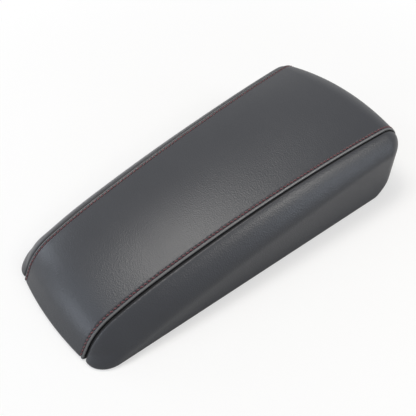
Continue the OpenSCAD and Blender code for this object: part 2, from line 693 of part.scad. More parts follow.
// Round wire along a path that never runs along X
module tube(path, r, sides) {
    n = len(path);
    pts = [for (i = [0:n - 1]) let (
        t = path[min(i + 1, n - 1)] - path[max(i - 1, 0)],
        side = cross(t, [1, 0, 0]),
        u = side / norm(side),
        v = cross(t / norm(t), u)
    ) for (k = [0:sides - 1]) path[i] + r * (cos(360 * k / sides) * u + sin(360 * k / sides) * v)];
    faces = concat([[for (k = [0:sides - 1]) k]],
        [[for (k = [sides - 1:-1:0]) (n - 1) * sides + k]],
        [for (i = [0:n - 2]) for (k = [0:sides - 1])
            let (a = i * sides + k, b = i * sides + (k + 1) % sides)
            each [[a, a + sides, b + sides], [a, b + sides, b]]]);
    polyhedron(pts, faces);
}
// Plate with round corners, from its low corner
module plate(w, l, t, r) {
    translate([r, 0, 0])
        cube([w - 2 * r, l, t]);
    translate([0, r, 0])
        cube([w, l - 2 * r, t]);
    for (x = [r, w - r], y = [r, l - r])
        translate([x, y, 0])
            cylinder(r = r, h = t);
}

centre_panel();
left_side_panel();
right_side_panel();
foam_pad();
carrier();
liner();
liner_screws();
rubber_buffers();
lid_hinge_plate();
hinge_plate_screws();
hinge_bracket();
hinge_pin();
friction_washers();
latch_frame();
latch_frame_screws();
latch_pin();
latch_spring();
latch_paddle();
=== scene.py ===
import json

import bmesh
import bpy
import numpy as np
from mathutils import Matrix

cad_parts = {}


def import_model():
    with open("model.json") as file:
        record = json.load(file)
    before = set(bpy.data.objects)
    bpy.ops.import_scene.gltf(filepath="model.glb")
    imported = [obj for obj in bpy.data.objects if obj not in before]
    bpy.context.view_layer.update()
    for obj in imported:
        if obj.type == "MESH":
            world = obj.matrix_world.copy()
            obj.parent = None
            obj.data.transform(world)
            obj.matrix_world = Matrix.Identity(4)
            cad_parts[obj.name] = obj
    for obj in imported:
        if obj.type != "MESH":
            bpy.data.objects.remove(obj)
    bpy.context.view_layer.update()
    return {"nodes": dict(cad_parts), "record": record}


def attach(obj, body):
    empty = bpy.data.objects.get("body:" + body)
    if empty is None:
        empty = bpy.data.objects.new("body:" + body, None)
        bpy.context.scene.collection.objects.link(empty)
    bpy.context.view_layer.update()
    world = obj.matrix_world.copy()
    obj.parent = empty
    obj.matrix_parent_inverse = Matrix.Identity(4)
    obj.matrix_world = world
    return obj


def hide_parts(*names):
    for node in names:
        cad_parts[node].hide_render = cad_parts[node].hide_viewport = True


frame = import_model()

# Padded centre armrest: sewn leather over foam, on a hinge at its tall rear.
# Shapes are worked out in millimetres and put into the meshes in metres.
MM = 0.001

# Side profile, as in the solids: slopes in degrees from level, lengths and radii
SEAM_LEN = 320
FRONT_SLOPE, NOSE_END_SLOPE, TOP_MID_SLOPE, TOP_END_SLOPE, REAR_LEAN = 58.6, 18.2, 10.7, 0.8, 4.4
FRONT_FLAT, NOSE_R, REAR_R = 13.6, 43, 19.5
# Share of the top's run that its front sweep takes
FRONT_SWEEP = 0.164
# Plan, at the seam's front and rear end: widths between the flat walls, and between the seam lines, each of
# which draws in by SEAM_WAIST halfway
FRONT_W, REAR_W = 138, 157
SEAM_W_FRONT, SEAM_W_REAR, SEAM_WAIST = 99, 130, 1.8
# Height of the crown and depth of the side rounding: halfway, front, rear
CROWN = (4.6, 3.2, 7.7)
ROUND = (22, 17, 17.8)
# Shares of the seam's length at which the front sizes are whole and gone, and at which the rear sizes begin
# and are whole
FRONT_BLEND, REAR_BLEND = (0.02, 0.12), (0.6, 0.97)
# Power of the side rounding, and its power at the front corners, reached from CORNER_H down to the floor
ROUND_POWER, CORNER_POWER, CORNER_H = 1.35, 2.1, 12
# Depth that the rounding gains at the rear corners, from HEEL_H down to the floor
HEEL_MORE, HEEL_H = 13.5, 15.5
# Turned-in edge: height of its underside, radius of its bends, and height and inset of its end
RIM_Z, RIM_R, HEM_TOP, HEM_END = 0.4, 2.2, 6.4, 10.0
# Height at which the walls end and the turned-in edge begins
WALL_END = RIM_Z + RIM_R
# Thickness of the leather, and how tightly the foam fills it, from 0 to 1
LEATHER, FILL = 0.9, 0.95

# Lapped seam, front and rear: how far inside the seam line the folded edge and the stitches lie, and how far
# outside it the side panel has come up out of the groove
LIP_IN, STITCH_IN, GROOVE_OUT = (1.3, 0.3), (4.5, 3.6), (2.2, 1.1)
# Folded edge: its radius, the width of the leather that goes under it, and how far under the top the centre
# panel's own turned-in leather lies
LIP_R, LIP_TUCK, LIP_DROP = 1.1, 4.0, 1.265
# Height of the bead between the edge and the stitches, and depth and width of the trough along the stitches
BEAD, STITCH_PULL, TROUGH_W = 0.3, 0.4, 0.9
# Depth, front and rear, of the groove and of the side panel's wider dip, and share of the rounding at which
# the dip ends
GROOVE, DIP, DIP_END = (1.2, 0.3), (0.6, 1.4), 0.6
# Painted shade in the groove at the seam line, where 1 is the most that shows, and its loss on the way out
GROOVE_SHADE, GROOVE_SHADE_FADE = 1.15, 1.3
# Bend between the side rounding and the flat wall: each point becomes a mean of MEAN_POINTS points over
# WALL_BLEND to each side, in full up to BEND_NEAR from the bend, not past BEND_FAR, and less in the first and
# last EDGE_ROWS rows
WALL_BLEND, BEND_NEAR, BEND_FAR, EDGE_ROWS, MEAN_POINTS = 6.0, 5.4, 14.4, 8, 13
# Painted highlight line on the folded edge as distance from the edge and width, and width of the row of
# needle holes
HIGHLIGHT_AT, HIGHLIGHT_W, HOLES_W = 0.9, 0.5, 0.8

# Length of a stitch as a share of the pitch, with the needle holes in the rest, and its slant across the row
STITCH_PITCH, STITCH_SHARE, STITCH_SLANT = 3.5, 0.84, 0.7
# Thread: its radius, the strands' radius and distance from its middle as shares of it, and turns in a stitch
THREAD_R, STRAND_R, STRAND_OUT, STRAND_TURNS = 0.58, 0.72, 0.45, 0.75
# Height of a stitch's arch, how deep its ends are sunk, and how thin they are
ARCH, SINK, END_SIZE = 0.62, 0.25, 0.55
STITCH_SECTIONS, STRAND_SIDES = 9, 6

# Hinge notch in the rear wall: the pin's place, the notch's radius and half its width
PIN_INSET, PIN_Z, NOTCH_R, NOTCH_HALF = 7.8, 8, 10, 36
# The notch's ceiling begins NOTCH_MORE outside that and is whole NOTCH_STEP further in
NOTCH_MORE, NOTCH_STEP = 0.6, 1.8
# How far inside the rear face the height of the notch's ceiling is taken
NOTCH_IN = 3

# Spacing of rows along the profile for the centre panel, the side panels and the stitches
CENTRE_STEP, SIDE_STEP, STITCH_STEP = 1.3, 1.6, 1.0
# Spacing of points across the centre panel: plain, and fine within reach of the seams and of the notch's ends
ACROSS, ACROSS_FINE, SEAM_REACH, NOTCH_REACH = 2.6, 0.32, 5.2, 1.4
# Angles of the side rounding, closer together in the groove, and number of points down the flat wall
TURNS = np.concatenate([[0, 1.2, 2.4, 3.8, 5.4, 7.2, 9.2, 11.4, 14, 17], np.linspace(20, 90, 34)])
WALL_POINTS = 28

# Roughness of the leather, lowest and highest, how much smoother the folded edge and rougher the groove is
GLOSS, FOLD_SMOOTHER, GROOVE_ROUGHER = (0.33, 0.38), 0.08, 0.35
# What the painted highlight adds to the colour along the folded edge, and the colour of the painted shade in
# the groove and in the needle holes
FOLD_HIGHLIGHT_PAINT, PAINTED_SHADE_COLOUR = (0.13, 0.13, 0.125), (0.008, 0.008, 0.009)
# Relief of the leather, for the pebbles and for the pores: scale, depth in metres and strength
PEBBLES, PORES = (900.0, 0.00023, 0.5), (2600.0, 0.00006, 0.5)
HOLE_DEPTH = 0.0005
# Scale of the leather's changes of tone and of gloss
TONE_SCALE, GLOSS_SCALE = 55.0, 9.0
# Distances in stitches from where two stitches meet: a needle hole is whole up to the first, and ends at the
# second
HOLE_REACH = (0.1, 0.2)
# Thread: scale and depth of its fibre, and its sheen
FIBRE_SCALE, FIBRE_DEPTH, SHEEN = 3000.0, 0.0001, 0.2
# Moulded and pressed surfaces: scale of the change of tone, change of roughness, and strength of the relief
CLOUD_SCALE, ROUGH_CHANGE, RELIEF = 25.0, 0.06, 0.6
# Values between which most of a noise lies
NOISE_LOW, NOISE_HIGH = 0.3, 0.7
# Sockets of a Mix node for colours: first colour, second colour, result
MIX_FIRST, MIX_SECOND, MIX_RESULT = 6, 7, 2

# Studio lights as name, azimuth, elevation, power in watts and colour; the low ones and the nose's are cool
DAY, COOL = (1.03, 1.0, 0.95), (0.88, 0.98, 1.12)
STUDIO = (
    ("high_left", 300, 75, 4.1, DAY),
    ("high_rear", 240, 75, 2.0, DAY),
    ("right_high", 120, 45, 3.39, DAY),
    ("right_low", 120, 14, 1.31, COOL),
    ("left_low", 300, 14, 1.35, COOL),
    ("nose_high", 335, 45, 0.89, COOL),
    ("nose_low", 340, 14, 1.9, COOL),
)
# Distance of the lights and their size, the height their distance is taken from, and the height they point at
LIGHT_FAR, LIGHT_SIZE, LIGHT_UP, LIGHT_TO = 1.1, 0.4, 0.03, 0.04
# Strength of the surround as a light
SURROUND = 0.30
# Half the floor's width in metres, and its tone
FLOOR_HALF, FLOOR_TONE = 3.0, 0.9
# Share of plain white that the camera sees in the floor up to the first radius; from the second, all is white
PAPER_SHARE, PAPER_RADII = 0.5, (0.15, 0.45)


def deg_sin(a):
    """Sine of an angle in degrees."""
    return np.sin(np.radians(a))


def deg_cos(a):
    """Cosine of an angle in degrees."""
    return np.cos(np.radians(a))


CROWN_REACH = CROWN[1] / deg_sin(FRONT_SLOPE)
LID_LEN = SEAM_LEN + CROWN_REACH + CROWN[2]
FRONT_Y = CROWN_REACH - LID_LEN / 2
PIN_Y = LID_LEN / 2 - PIN_INSET


def mix(a, b, u):
    """From a to b in a straight line as u goes from 0 to 1."""
    return a + (b - a) * u


def ease(u):
    """Smooth step: 3 u^2 - 2 u^3 between 0 and 1."""
    c = np.clip(u, 0, 1)
    return c * c * (3 - 2 * c)


def hump(t, middle, width):
    """Bell curve: e to the power of minus the square of (t - middle) / width."""
    return np.exp(-(((t - middle) / width) ** 2))


def along(y):
    """Share of the seam's length at y."""
    return (y - FRONT_Y) / SEAM_LEN


def to_rear(y, ends):
    """A size that changes evenly from its front to its rear value."""
    return mix(ends[0], ends[1], np.clip(along(y), 0, 1))


def by_end(y, sizes):
    """The middle size, turned into the front and the rear size by smooth steps near the ends."""
    middle, front, rear = sizes
    at_front = ease((FRONT_BLEND[1] - along(y)) / (FRONT_BLEND[1] - FRONT_BLEND[0]))
    at_rear = ease((along(y) - REAR_BLEND[0]) / (REAR_BLEND[1] - REAR_BLEND[0]))
    return middle + (front - middle) * at_front + (rear - middle) * at_rear


def seam_x(y):
    """Half the width between the seam lines: a straight taper less a parabola that is SEAM_WAIST halfway."""
    u = along(y)
    return mix(SEAM_W_FRONT, SEAM_W_REAR, u) / 2 - 4 * SEAM_WAIST * u * (1 - u)


def wall_x(y):
    """Half the width between the flat walls: a straight taper."""
    return mix(FRONT_W, REAR_W, along(y)) / 2


def out_share(turn):
    """Share of the way from the seam out to the wall at an angle of the side rounding: the sine to the power
    of 2 / ROUND_POWER."""
    return deg_sin(turn) ** (2 / ROUND_POWER)


def row_in(y):
    """Distance from the folded edge to the row of stitches."""
    return to_rear(y, STITCH_IN) - to_rear(y, LIP_IN)


FRONT_STRAIGHT, ARC, REAR_STRAIGHT = 0, 1, 2


def stretch(kind, share, at, heading):
    """Rows of one stretch of the side profile, in the columns kind, share, y, z and heading."""
    n = len(share)
    return np.column_stack([np.full(n, kind), share, at, np.full(n, heading)])


class Profile:
    """Rows of the side profile, and the place where its straight rear begins. The two straights stretch, so
    that they end at a wanted height."""

    def __init__(self, table, rear):
        self.table, self.rear, self.count = table, rear, len(table)

    def ends(self):
        """The first and the last row, each as a profile of its own."""
        return Profile(self.table[:1], self.rear), Profile(self.table[-1:], self.rear)

    def place(self, h, base):
        """Place (y, z) of each row for a surface h above the profile whose straights end at height base."""
        kind, share, arc_y, arc_z, _ = self.table.T[:, :, None]
        start = (base - h * deg_cos(FRONT_SLOPE)) / deg_sin(FRONT_SLOPE)
        t = mix(start, FRONT_FLAT, share)
        drop = share * (self.rear[1] - base - h * deg_sin(REAR_LEAN)) / deg_cos(REAR_LEAN)
        front, rear = kind == FRONT_STRAIGHT, kind == REAR_STRAIGHT
        rear_y, rear_z = self.rear[0] - drop * deg_sin(REAR_LEAN), self.rear[1] - drop * deg_cos(REAR_LEAN)
        y = np.where(front, FRONT_Y + t * deg_cos(FRONT_SLOPE), np.where(rear, rear_y, arc_y))
        z = np.where(front, t * deg_sin(FRONT_SLOPE), np.where(rear, rear_z, arc_z))
        return y, z

    def raised(self, h, base):
        """The same places moved by h square to the profile, out of the armrest."""
        y, z = self.place(h, base)
        heading = self.table[:, 4:]
        return y - h * deg_sin(heading), z + h * deg_cos(heading)


def side_profile(step):
    """The side profile as rows about step apart: a straight front, the nose, two sweeps, the rear edge and a
    straight rear. On an arc of radius r that starts at slope a, the place at slope t is the arc's start plus
    r * (sin a - sin t) along and r * (cos t - cos a) up."""
    rear_slope = -(90 + REAR_LEAN)
    nose_run = NOSE_R * (deg_sin(FRONT_SLOPE) - deg_sin(NOSE_END_SLOPE))
    rear_run = REAR_R * (1 + deg_sin(TOP_END_SLOPE))
    run = SEAM_LEN - FRONT_FLAT * deg_cos(FRONT_SLOPE) - nose_run - rear_run
    front_r = run * FRONT_SWEEP / (deg_sin(NOSE_END_SLOPE) - deg_sin(TOP_MID_SLOPE))
    rear_r = run * (1 - FRONT_SWEEP) / (deg_sin(TOP_MID_SLOPE) - deg_sin(TOP_END_SLOPE))
    arcs = (
        (NOSE_R, FRONT_SLOPE, NOSE_END_SLOPE),
        (front_r, NOSE_END_SLOPE, TOP_MID_SLOPE),
        (rear_r, TOP_MID_SLOPE, TOP_END_SLOPE),
        (REAR_R, TOP_END_SLOPE, rear_slope),
    )
    n = max(3, int(FRONT_FLAT / step))
    rows = [stretch(FRONT_STRAIGHT, np.arange(n) / n, np.zeros((n, 2)), FRONT_SLOPE)]
    at = np.array([FRONT_Y + FRONT_FLAT * deg_cos(FRONT_SLOPE), FRONT_FLAT * deg_sin(FRONT_SLOPE)])
    for r, a, b in arcs:
        n = int(np.ceil(r * np.radians(a - b) / step))
        turn = mix(a, b, np.arange(n) / n)
        way = np.stack([deg_sin(a) - deg_sin(turn), deg_cos(turn) - deg_cos(a)], 1)
        rows.append(stretch(ARC, np.zeros(n), at + r * way, turn))
        at = at + r * np.array([deg_sin(a) - deg_sin(b), deg_cos(b) - deg_cos(a)])
    n = int(at[1] / step)
    rows.append(stretch(REAR_STRAIGHT, np.arange(n + 1) / n, np.zeros((n + 1, 2)), rear_slope))
    return Profile(np.concatenate(rows), at)


def crown_points(rows, c, lift, inset, base):
    """Centre panel: c runs from seam to seam, and the height over the profile is
    crown * (1 - c^2) + lift - inset."""
    y0, _ = rows.place(np.zeros_like(c), base)
    h = by_end(y0, CROWN) * (1 - c * c) + lift - inset
    y, z = rows.raised(h, base)
    return np.stack([c * seam_x(y0), y, z], -1)


def fall(u, power):
    """Superellipse quarter: 1 - (1 - u^p)^(1/p)."""
    return 1 - (1 - np.minimum(u, 1) ** power) ** (1 / power)


def round_points(rows, turn, lift, inset, base):
    """Side rounding: a superellipse quarter from the seam out to the wall and down; turn is its angle, from 0
    to 90. Its power grows to CORNER_POWER at the front corners, and its depth by HEEL_MORE at the rear."""
    y0, _ = rows.place(np.zeros_like(turn), base)
    u = out_share(turn)
    deep = by_end(y0, ROUND) - inset
    _, z = rows.raised(-inset - deep * fall(u, ROUND_POWER), base)
    front = along(y0) < 0.5
    full = mix(ROUND_POWER, CORNER_POWER, ease((CORNER_H - z) / CORNER_H) * front)
    heel = HEEL_MORE * np.clip(1 - z / HEEL_H, 0, 1) ** 2 * ~front
    y, z = rows.raised(lift - inset - (deep + heel) * fall(u, full), base)
    return np.stack([mix(seam_x(y0), wall_x(y) - inset, u), y, z], -1)


def wall_points(rows, v, inset, base):
    """Flat side wall: from the end of the rounding, v = 0, straight down to height base, v = 1."""
    edge = round_points(rows, np.full((rows.count, 1), 90.0), 0, inset, base)
    g = np.linspace(0, 1, rows.count)[:, None]
    y = mix(edge[0, 0, 1], edge[-1, 0, 1], g)
    ends = (g == 0) | (g == 1)
    low = np.stack([wall_x(y) - inset, y, np.full_like(y, base)], -1)
    low = np.where(ends[..., None], edge, low)
    p = mix(edge, low, v[None, :, None])
    p[..., 0] = np.where(ends, p[..., 0], wall_x(p[..., 1]) - inset)
    return p


def grid_faces(n, m, start=0, flip=False):
    """Quads of an n by m grid of points."""
    a = start + (np.arange(n - 1)[:, None] * m + np.arange(m - 1)[None, :]).ravel()
    q = np.stack([a, a + 1, a + m + 1, a + m], 1)
    return q[:, ::-1] if flip else q


def put_in(name, data):
    """A new object at the origin with this mesh, light or camera."""
    thing = bpy.data.objects.new(name, data)
    bpy.context.scene.collection.objects.link(thing)
    return thing


def make_mesh(name, parts, marks=None, merge=2e-6):
    """One mesh object from grids, each given as points (n x m x 3, in millimetres) and flip, joined where
    their edges meet. marks holds attributes for the material, by name: for each grid of points a number or a
    grid of numbers."""
    points, faces, start = [], [], 0
    for p, flip in parts:
        n, m = p.shape[:2]
        points.append(p.reshape(-1, 3) * MM)
        faces.append(grid_faces(n, m, start, flip))
        start += n * m
    points, faces = np.concatenate(points), np.concatenate(faces)
    mesh = bpy.data.meshes.new(name)
    mesh.from_pydata(points.tolist(), [], faces.tolist())
    for key, values in (marks or {}).items():
        grids = [np.broadcast_to(v, p.shape[:2]).ravel() for v, (p, _) in zip(values, parts)]
        layer = mesh.attributes.new(key, "FLOAT", "POINT")
        layer.data.foreach_set("value", np.concatenate(grids).astype(np.float32))
    bm = bmesh.new()
    bm.from_mesh(mesh)
    bmesh.ops.remove_doubles(bm, verts=bm.verts, dist=merge)
    bmesh.ops.dissolve_degenerate(bm, edges=bm.edges, dist=merge)
    bm.to_mesh(mesh)
    bm.free()
    mesh.polygons.foreach_set("use_smooth", np.ones(len(mesh.polygons), bool))
    mesh.update()
    return put_in(name, mesh)


def give_thickness(piece):
    """The leather's thickness, to the inside of the surface."""
    mod = piece.modifiers.new("thickness", "SOLIDIFY")
    mod.thickness = LEATHER * MM
    mod.offset = -1


def hem_path(steps=5):
    """Section of the turned-in edge as (inset, height): a quarter round under the wall, flat, and up
    inside."""
    a = np.linspace(0, 90, steps)
    under = np.stack([RIM_R * (1 - deg_cos(a)), RIM_Z + RIM_R * (1 - deg_sin(a))], 1)
    flat = np.array([[HEM_END / 2, RIM_Z]])
    inner = np.stack([HEM_END - RIM_R * (1 - deg_sin(a)), RIM_Z + RIM_R * (1 - deg_cos(a))], 1)
    return np.concatenate([under, flat, inner, [[HEM_END, HEM_TOP]]])


def dense_at(edges, reaches, step, fine, samples=20001):
    """Places from the first to the last edge, step apart, and fine apart within each edge's own reach: points
    at even shares of the running total of 1 / spacing, which is summed on a close line of samples."""
    line = np.linspace(edges[0], edges[-1], samples)
    near = np.min([np.abs(line - edge) / reach for edge, reach in zip(edges, reaches)], axis=0)
    density = 1 / mix(fine, step, ease(near - 1))
    total = np.concatenate([[0], np.cumsum(density[1:] * np.diff(line))])
    n = int(np.ceil(total[-1]))
    return np.interp(np.linspace(0, total[-1], n + 1), total, line)


def notch_share(x):
    """1 over the hinge notch, 0 beside it, with a steep smooth step at its ends."""
    return ease((NOTCH_HALF + NOTCH_MORE - np.abs(x)) / NOTCH_STEP)


def notch_top(y):
    """Height of the notch's round ceiling at y: a circle about the pin, drawn in by the leather."""
    return PIN_Z + np.sqrt(np.maximum((NOTCH_R - LEATHER) ** 2 - (y - PIN_Y) ** 2, 1))


def lip_lift(t, row):
    """Height of the folded edge at distance t from it: a quarter round of LIP_R at the edge, a bead halfway
    to the stitches, and a trough along the stitches, which lie at distance row."""
    r = np.clip(1 - t / LIP_R, 0, 1)
    edge = -LIP_R * (1 - np.sqrt(1 - r * r))
    return edge + BEAD * hump(t, row / 2, row / 4) - STITCH_PULL * hump(t, row, TROUGH_W)


def centre_panel(profile):
    """Centre panel with its front and rear hems and the leather folded under at both seams. Each row goes
    from fold to fold, raised by the crown and lip_lift; over the notch the rows end at its ceiling."""
    half = (SEAM_W_FRONT + SEAM_W_REAR) / 4 - LIP_IN[1]
    reaches = [SEAM_REACH, NOTCH_REACH, NOTCH_REACH, SEAM_REACH]
    x = dense_at([-half, -NOTCH_HALF, NOTCH_HALF, half], reaches, ACROSS, ACROSS_FINE)
    share = (x / half)[None, :] * np.ones((profile.count, 1))
    y0, _ = profile.place(np.zeros_like(share), RIM_Z)
    s = seam_x(y0)
    lip = s - to_rear(y0, LIP_IN)
    c = share * lip / s
    t = (1 - np.abs(share)) * lip
    row = row_in(y0)
    lift = lip_lift(t, row)
    rear_h = by_end(SEAM_LEN + FRONT_Y, CROWN)
    notch_h = notch_top(profile.rear[0] + rear_h - NOTCH_IN) + RIM_R
    base = WALL_END + np.where(y0 > 0, notch_share(c * s) * (notch_h - WALL_END), 0)
    top = crown_points(profile, c, lift, 0, base)
    folds = []
    for sign, column in ((-1, 0), (1, -1)):
        under = [top[:, column]]
        for d in np.linspace(0, LIP_TUCK, 4)[1:]:
            fold = crown_points(profile, c[:, [column]], -LIP_DROP, 0, base[:, [column]])[:, 0]
            fold[:, 0] -= sign * d
            under.append(fold)
        folds.append((np.stack(under, 1), sign < 0))
    front_row, rear_row = profile.ends()
    front = np.stack([crown_points(front_row, c[:1], lift[:1], a, z)[0] for a, z in hem_path()], 0)
    notch = notch_share((c * s)[-1])
    rear = []
    for a, z in hem_path():
        plain = crown_points(rear_row, c[-1:], lift[-1:], a, z)[0]
        ceiling = notch_top(plain[:, 1]) + (z - RIM_Z)
        rear.append(crown_points(rear_row, c[-1:], lift[-1:], a, mix(z, ceiling, notch)[None, :])[0])
    parts = [(top, False), (front, True), (np.stack(rear, 0), False)] + folds
    marks = {
        # groove: painted shade, whole on the leather folded under the seams
        "groove": [0, 0, 0, 1, 1],
        # fold: a painted highlight line along the folded edge, which is also smoother
        "fold": [hump(t, HIGHLIGHT_AT, HIGHLIGHT_W), 0, 0, 0, 0],
        "stitch_row": [hump(t, row, HOLES_W), 0, 0, 0, 0],
        "stitch_count": [stitch_count(profile)[:, None], 0, 0, 0, 0],
    }
    return make_mesh("leather_centre", parts, marks)


def groove_share(rows, turn, base):
    """0 at the seam line and 1 where the side panel is out of the groove."""
    y0, _ = rows.place(np.zeros_like(turn), base)
    return out_share(turn) * (wall_x(y0) - seam_x(y0)) / to_rear(y0, GROOVE_OUT)


def side_dip(rows, turn, base):
    """The side panel dives under the folded edge: a groove and a wide shallow dip, each as deep as the square
    of the share of its way that is still ahead."""
    y0, _ = rows.place(np.zeros_like(turn), base)
    ahead = np.clip(1 - groove_share(rows, turn, base), 0, 1)
    wide = np.clip(1 - out_share(turn) / DIP_END, 0, 1)
    return -to_rear(y0, GROOVE) * ahead ** 2 - to_rear(y0, DIP) * wide ** 2


def column_run(p):
    """Distance along each row of a grid of points from its first point."""
    steps = np.linalg.norm(np.diff(p, axis=1), axis=2)
    return np.concatenate([np.zeros((len(p), 1)), np.cumsum(steps, axis=1)], 1)


def ease_bend(p, bend):
    """Rounds each row's bend at column number bend: a point near it becomes the weighted mean of the row over
    its reach to each side, with weights that are a squared cosine. The reach is WALL_BLEND at the bend, and
    less away from it and towards the edges of the grid, which stay as they are.
    The row is read as lines between its points, all rows at once, set apart from each other."""
    run = column_run(p)
    number = np.arange(len(p))[:, None]
    reach = WALL_BLEND * ease((BEND_FAR - np.abs(run - run[:, [bend]])) / (BEND_FAR - BEND_NEAR))
    reach = np.minimum(reach, np.minimum(run, run[:, -1:] - run))
    reach = reach * np.minimum(1, np.minimum(number, len(p) - 1 - number) / EDGE_ROWS)
    apart = 2 * run.max() * number
    shares = np.linspace(-1, 1, MEAN_POINTS)
    weights = np.cos(shares * np.pi / 2) ** 2
    out = np.zeros_like(p)
    for share, weight in zip(shares, weights):
        at = (run + share * reach + apart).ravel()
        for k in range(3):
            line = np.interp(at, (run + apart).ravel(), p[..., k].ravel())
            out[..., k] += weight * line.reshape(run.shape)
    return out / weights.sum()


def side_panel(profile, name, sign):
    """Side panel: the leather under the folded edge, the rounding with its groove, the flat wall and the hem.
    It is worked out for the right side, and mirrored for the left."""
    turn = TURNS[None, :] * np.ones((profile.count, 1))
    bulge = round_points(profile, turn, side_dip(profile, turn, WALL_END), 0, WALL_END)
    wall = wall_points(profile, np.linspace(0, 1, WALL_POINTS), 0, WALL_END)
    shell = ease_bend(np.concatenate([bulge, wall[:, 1:]], 1), bulge.shape[1] - 1)
    tuck = bulge[:, 0].copy()
    tuck[:, 0] -= LIP_TUCK
    seam = np.stack([tuck, bulge[:, 0]], 1)
    first = turn[:1]
    hem = []
    for a, z in hem_path():
        front, rear = (round_points(end, first, side_dip(end, first, z), a, z)[0] for end in profile.ends())
        low = wall_points(profile, np.array([1.0]), a, z)[:, 0]
        hem.append(np.concatenate([front, low[1:-1], rear[::-1]]))
    parts = [(shell, False), (seam, False), (np.stack(hem, 0), True)]
    parts = [(p * np.array([sign, 1, 1]), flip != (sign < 0)) for p, flip in parts]
    # Painted shade in the groove: darkest at the seam line, fading as the side panel comes out of it
    painted_shade = np.clip(GROOVE_SHADE - GROOVE_SHADE_FADE * groove_share(profile, turn, WALL_END), 0, 1)
    marks = {"groove": [np.pad(painted_shade, ((0, 0), (0, WALL_POINTS - 1))), 1, 0]}
    return make_mesh(name, parts, marks)


def stitch_line(profile, sign):
    """Places along one row of stitches, one for each row of the profile, and the outward direction there."""
    y0, _ = profile.place(np.zeros((profile.count, 1)), WALL_END)
    c = 1 - to_rear(y0, STITCH_IN) / seam_x(y0)
    lift = lip_lift(row_in(y0), row_in(y0))
    low = crown_points(profile, sign * c, lift, 0, WALL_END)[:, 0]
    high = crown_points(profile, sign * c, lift + 1, 0, WALL_END)[:, 0]
    n = high - low
    return low, n / np.linalg.norm(n, axis=1, keepdims=True)


def run_length(line):
    """Distance along a line of points from its first point."""
    return np.concatenate([[0], np.cumsum(np.linalg.norm(np.diff(line, axis=0), axis=1))])


def stitch_count(profile):
    """Number of stitches from the front end of a row up to each row of the profile."""
    run = run_length(stitch_line(profile, 1)[0])
    return run / run[-1] * int(run[-1] / STITCH_PITCH)


def stitches(profile, name, sign):
    """Sewn thread: each stitch is slanted across the row, arched over the leather and sunk at both ends.
    At share u of a stitch its middle is ARCH * sin(pi u) - SINK high, and two strands wind round that, half a
    turn apart and thinner at the ends."""
    line, normal = stitch_line(profile, sign)
    run = run_length(line)
    count = int(run[-1] / STITCH_PITCH)
    starts = (np.arange(count) + 0.5) * run[-1] / count - STITCH_PITCH * STITCH_SHARE / 2
    u = np.linspace(0, 1, STITCH_SECTIONS)
    dist = starts[:, None] + u[None, :] * STITCH_PITCH * STITCH_SHARE
    at = np.stack([np.interp(dist, run, line[:, k]) for k in range(3)], -1)
    up = np.stack([np.interp(dist, run, normal[:, k]) for k in range(3)], -1)
    up /= np.linalg.norm(up, axis=-1, keepdims=True)
    ahead = np.gradient(at, axis=1)
    ahead /= np.linalg.norm(ahead, axis=-1, keepdims=True)
    side = np.cross(ahead, up)
    at = at + side * ((u - 0.5) * STITCH_SLANT * sign)[None, :, None]
    middle = at + up * (ARCH * np.sin(np.pi * u) - SINK)[None, :, None]
    size = mix(END_SIZE, 1, np.sin(np.pi * u) ** 0.5)[None, :, None, None]
    ring = np.arange(STRAND_SIDES + 1) * 2 * np.pi / STRAND_SIDES
    cos, sin = np.cos(ring)[None, None, :, None], np.sin(ring)[None, None, :, None]
    outward = side[:, :, None] * cos + up[:, :, None] * sin
    parts = []
    for strand in (0, np.pi):
        spin = (2 * np.pi * STRAND_TURNS * u + strand)[None, :, None]
        wound = middle + THREAD_R * STRAND_OUT * (side * np.cos(spin) + up * np.sin(spin))
        grid = wound[:, :, None] + THREAD_R * STRAND_R * size * outward
        parts += [(stitch, True) for stitch in grid]
    return make_mesh(name, parts)


# Materials


def node_material(name, color, roughness, specular=0.5):
    """A material with its node tree and its shader."""
    mat = bpy.data.materials.new(name)
    mat.use_nodes = True
    shader = mat.node_tree.nodes["Principled BSDF"]
    shader.inputs["Base Color"].default_value = (*color, 1)
    shader.inputs["Roughness"].default_value = roughness
    shader.inputs["Specular IOR Level"].default_value = specular
    return mat, mat.node_tree, shader


def add(tree, kind, **inputs):
    """A new node with these numbers on its inputs."""
    node = tree.nodes.new(kind)
    for key, value in inputs.items():
        node.inputs[key.replace("_", " ")].default_value = value
    return node


def spread(tree, value, low, high, out_low, out_high):
    """Takes low to high of a value onto out_low to out_high, and stays within them."""
    node = tree.nodes.new("ShaderNodeMapRange")
    tree.links.new(value, node.inputs["Value"])
    for key, number in (("From Min", low), ("From Max", high), ("To Min", out_low), ("To Max", out_high)):
        node.inputs[key].default_value = number
    return node.outputs["Result"]


def feed(tree, socket, value):
    """Gives a colour socket another node's colour, or a colour of three numbers."""
    if isinstance(value, tuple):
        socket.default_value = (*value, 1)
    else:
        tree.links.new(value, socket)


def tint(tree, factor, first, second, way="MIX"):
    """The first colour turned into the second by the factor, or the second added to it."""
    node = tree.nodes.new("ShaderNodeMix")
    node.data_type, node.blend_type = "RGBA", way
    if isinstance(factor, (int, float)):
        node.inputs["Factor"].default_value = factor
    else:
        tree.links.new(factor, node.inputs["Factor"])
    feed(tree, node.inputs[MIX_FIRST], first)
    feed(tree, node.inputs[MIX_SECOND], second)
    return node.outputs[MIX_RESULT]


def bump(tree, shader, height, distance, strength, after=None):
    """Relief on a shader, laid over the relief in after if there is one; gives the new normal."""
    node = add(tree, "ShaderNodeBump", Distance=distance, Strength=strength)
    tree.links.new(height, node.inputs["Height"])
    if after is not None:
        tree.links.new(after, node.inputs["Normal"])
    tree.links.new(node.outputs["Normal"], shader.inputs["Normal"])
    return node.outputs["Normal"]


def place(tree):
    """Object coordinates, in metres."""
    return tree.nodes.new("ShaderNodeTexCoord").outputs["Object"]


def mark(tree, name):
    """A mark that make_mesh put on the points."""
    node = tree.nodes.new("ShaderNodeAttribute")
    node.attribute_name = name
    return node.outputs["Fac"]


